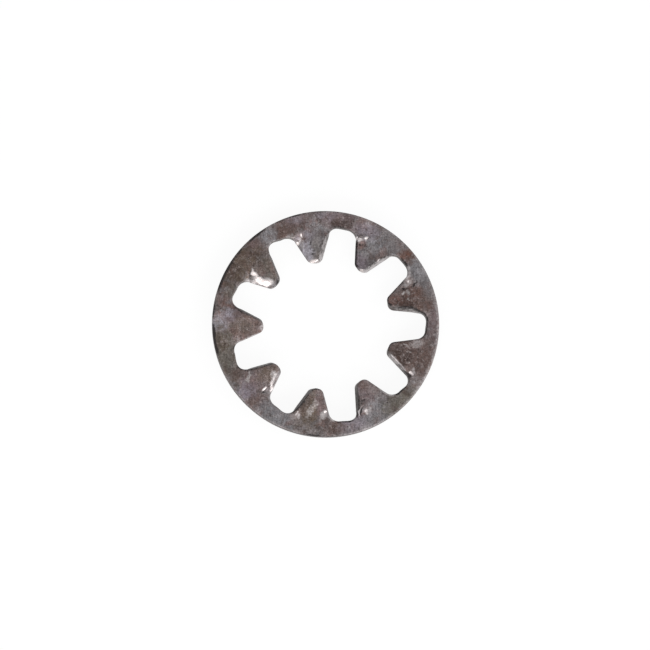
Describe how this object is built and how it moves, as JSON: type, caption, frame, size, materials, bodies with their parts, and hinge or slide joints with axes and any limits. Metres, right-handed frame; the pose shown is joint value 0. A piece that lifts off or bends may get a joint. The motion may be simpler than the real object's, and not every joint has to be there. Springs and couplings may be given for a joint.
{
  "type": "toothed lock washer",
  "caption": "Flat steel ring with inward teeth, each twisted about its own centre line so that its edges bite under a bolt head or nut and keep it from working loose.",
  "frame": {"origin": "on the outer rim's axis, halfway through the sheet's thickness", "axes": "+Z along the bolt, square to the flat ring; +X from the axis to the middle of the slot opposite the first tooth"},
  "size_m": [0.018, 0.018, 0.0016],
  "materials": {
    "steel": "bare spring steel, worn dull, with brown stains and lighter blue-grey patches"
  },
  "bodies": {
    "root": {"lock_washer": "steel"}
  },
  "joints": []
}
